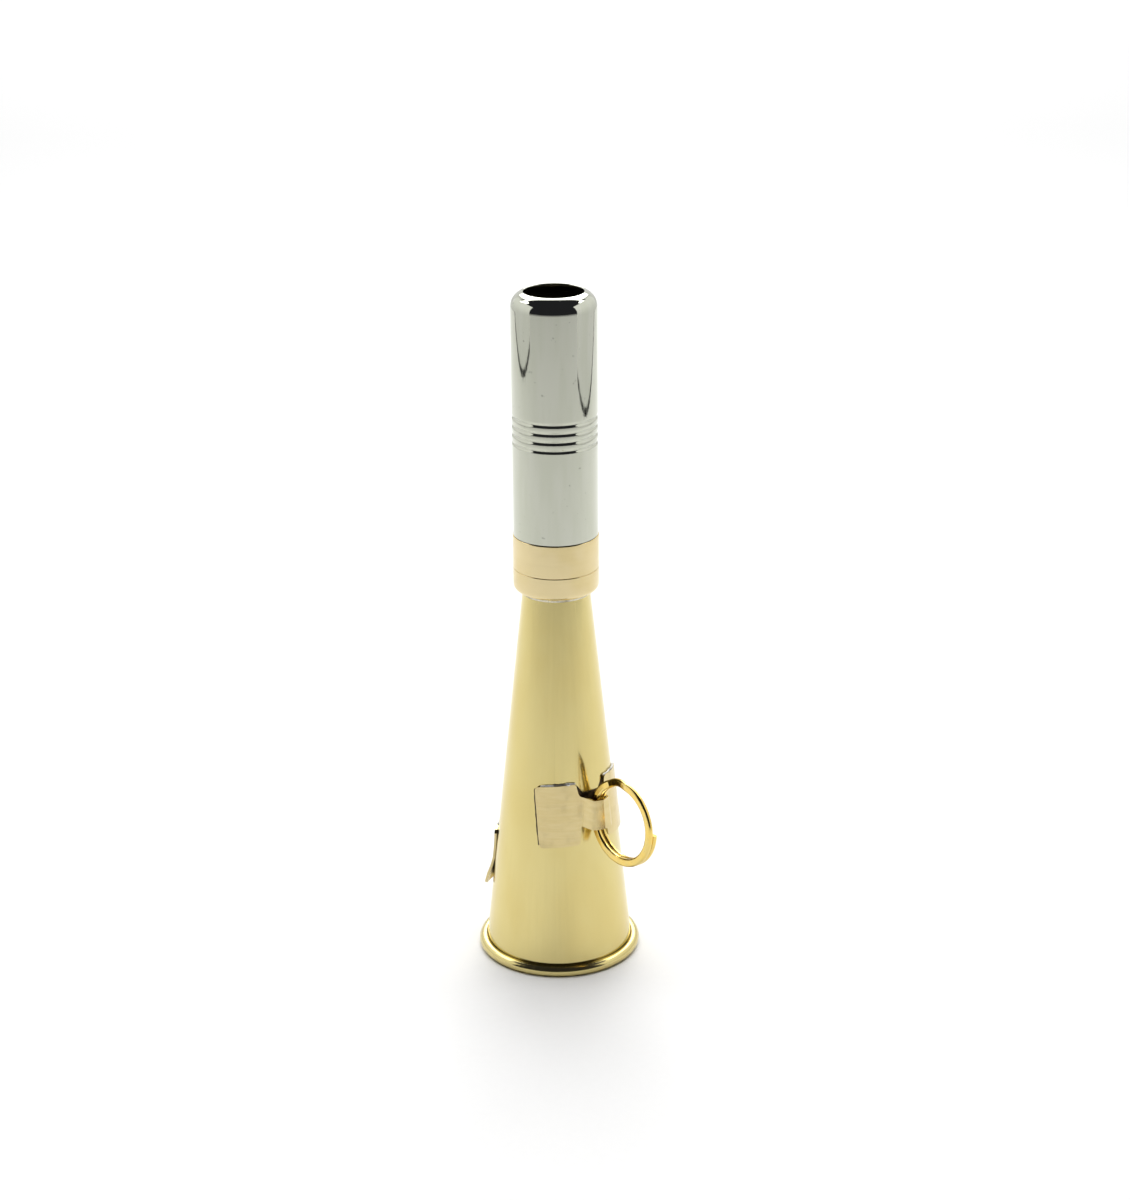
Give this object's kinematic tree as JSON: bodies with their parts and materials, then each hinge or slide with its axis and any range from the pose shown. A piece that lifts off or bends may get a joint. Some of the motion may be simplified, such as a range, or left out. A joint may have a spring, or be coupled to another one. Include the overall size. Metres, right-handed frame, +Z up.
{
  "type": "reed horn whistle",
  "caption": "Small brass reed horn with a conical rolled-rim bell, a plated pull-off mouthpiece tube over a beating reed, and soldered clips holding split rings.",
  "frame": {"origin": "centre of the flat face under the rolled rim, on the horn's axis", "axes": "+Z up along the horn's axis, from the bell's rim to the blow hole; -Y is the side seen first, with the front clip facing right of it; +X to the right"},
  "size_m": [0.0363, 0.0527, 0.1403],
  "materials": {
    "bell_brass": "polished and lacquered sheet",
    "turned_brass": "polished, turned",
    "clip_brass": "polished strip, slightly tarnished",
    "gilt_wire": "bright gilt wire",
    "spring_brass": "rolled spring strip",
    "nickel_plate": "bright nickel plate over brass",
    "solder": "soft solder, dull and uneven"
  },
  "bodies": {
    "bell_body": {"bell": "bell_brass", "rim_wire": "bell_brass", "bell_collar": "turned_brass", "collar_solder": "solder", "front_clip": "clip_brass", "front_clip_solder": "solder", "rear_clip": "clip_brass", "rear_clip_solder": "solder"},
    "reed_body": {"reed_block": "turned_brass", "reed_shallot": "turned_brass", "reed_wedge": "turned_brass"},
    "tongue_body": {"reed_tongue": "spring_brass"},
    "mouthpiece_body": {"mouthpiece_tube": "nickel_plate"},
    "front_ring_body": {"front_split_ring": "gilt_wire"},
    "rear_ring_body": {"rear_split_ring": "gilt_wire"}
  },
  "joints": [
    {"name": "reed_block_pull", "type": "slide", "parent": "bell_body", "child": "reed_body", "axis": [0, 0, 1], "range_m": [0, 0.02]},
    {"name": "mouthpiece_pull", "type": "slide", "parent": "reed_body", "child": "mouthpiece_body", "axis": [0, 0, 1], "range_m": [0, 0.035]},
    {"name": "tongue_beat", "type": "hinge", "parent": "reed_body", "child": "tongue_body", "pos_m": [0, -0.00082, 0.0978], "axis": [1, 0, 0], "range_deg": [-1.5, 0.8], "stiffness_Nm_per_rad": 0.002},
    {"name": "front_ring_swing", "type": "hinge", "parent": "bell_body", "child": "front_ring_body", "pos_m": [0.00779, -0.01034, 0.0352], "axis": [0, 0, 1], "range_deg": [-60, 75]},
    {"name": "rear_ring_swing", "type": "hinge", "parent": "bell_body", "child": "rear_ring_body", "pos_m": [-0.00876, 0.01162, 0.0202], "axis": [0, 0, 1], "range_deg": [-20, 110]}
  ]
}
